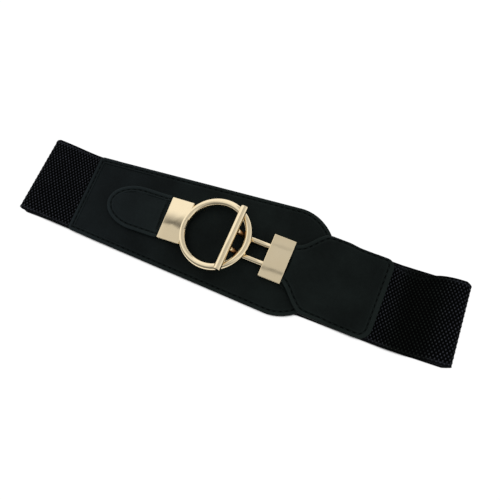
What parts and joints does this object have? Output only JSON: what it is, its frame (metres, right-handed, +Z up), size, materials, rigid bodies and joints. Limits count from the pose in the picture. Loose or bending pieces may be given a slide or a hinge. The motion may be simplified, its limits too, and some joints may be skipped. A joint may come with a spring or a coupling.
{
  "type": "elastic stretch belt",
  "caption": "Wide elastic waist belt with black leather panels, fastened by a large metal ring and a toggle bar, lying flattened with its buckle up.",
  "frame": {"origin": "on the surface that the belt lies on, under the middle of the belt's length and width", "axes": "+X along the belt towards the hook's side, +Y across the belt, +Z up, out of the buckle's face"},
  "size_m": [0.3372, 0.083, 0.0204],
  "materials": {
    "elastic": "woven elastic webbing, matte black",
    "leather": "smooth semi-matte black artificial leather, stitched",
    "gold_metal": "polished pale gold plating on cast zinc alloy"
  },
  "bodies": {
    "root": {"elastic_band": "elastic", "base_panel": "leather", "tab": "leather", "front_panel": "leather", "ring_clip": "gold_metal", "hook_clip": "gold_metal"}
  },
  "joints": []
}
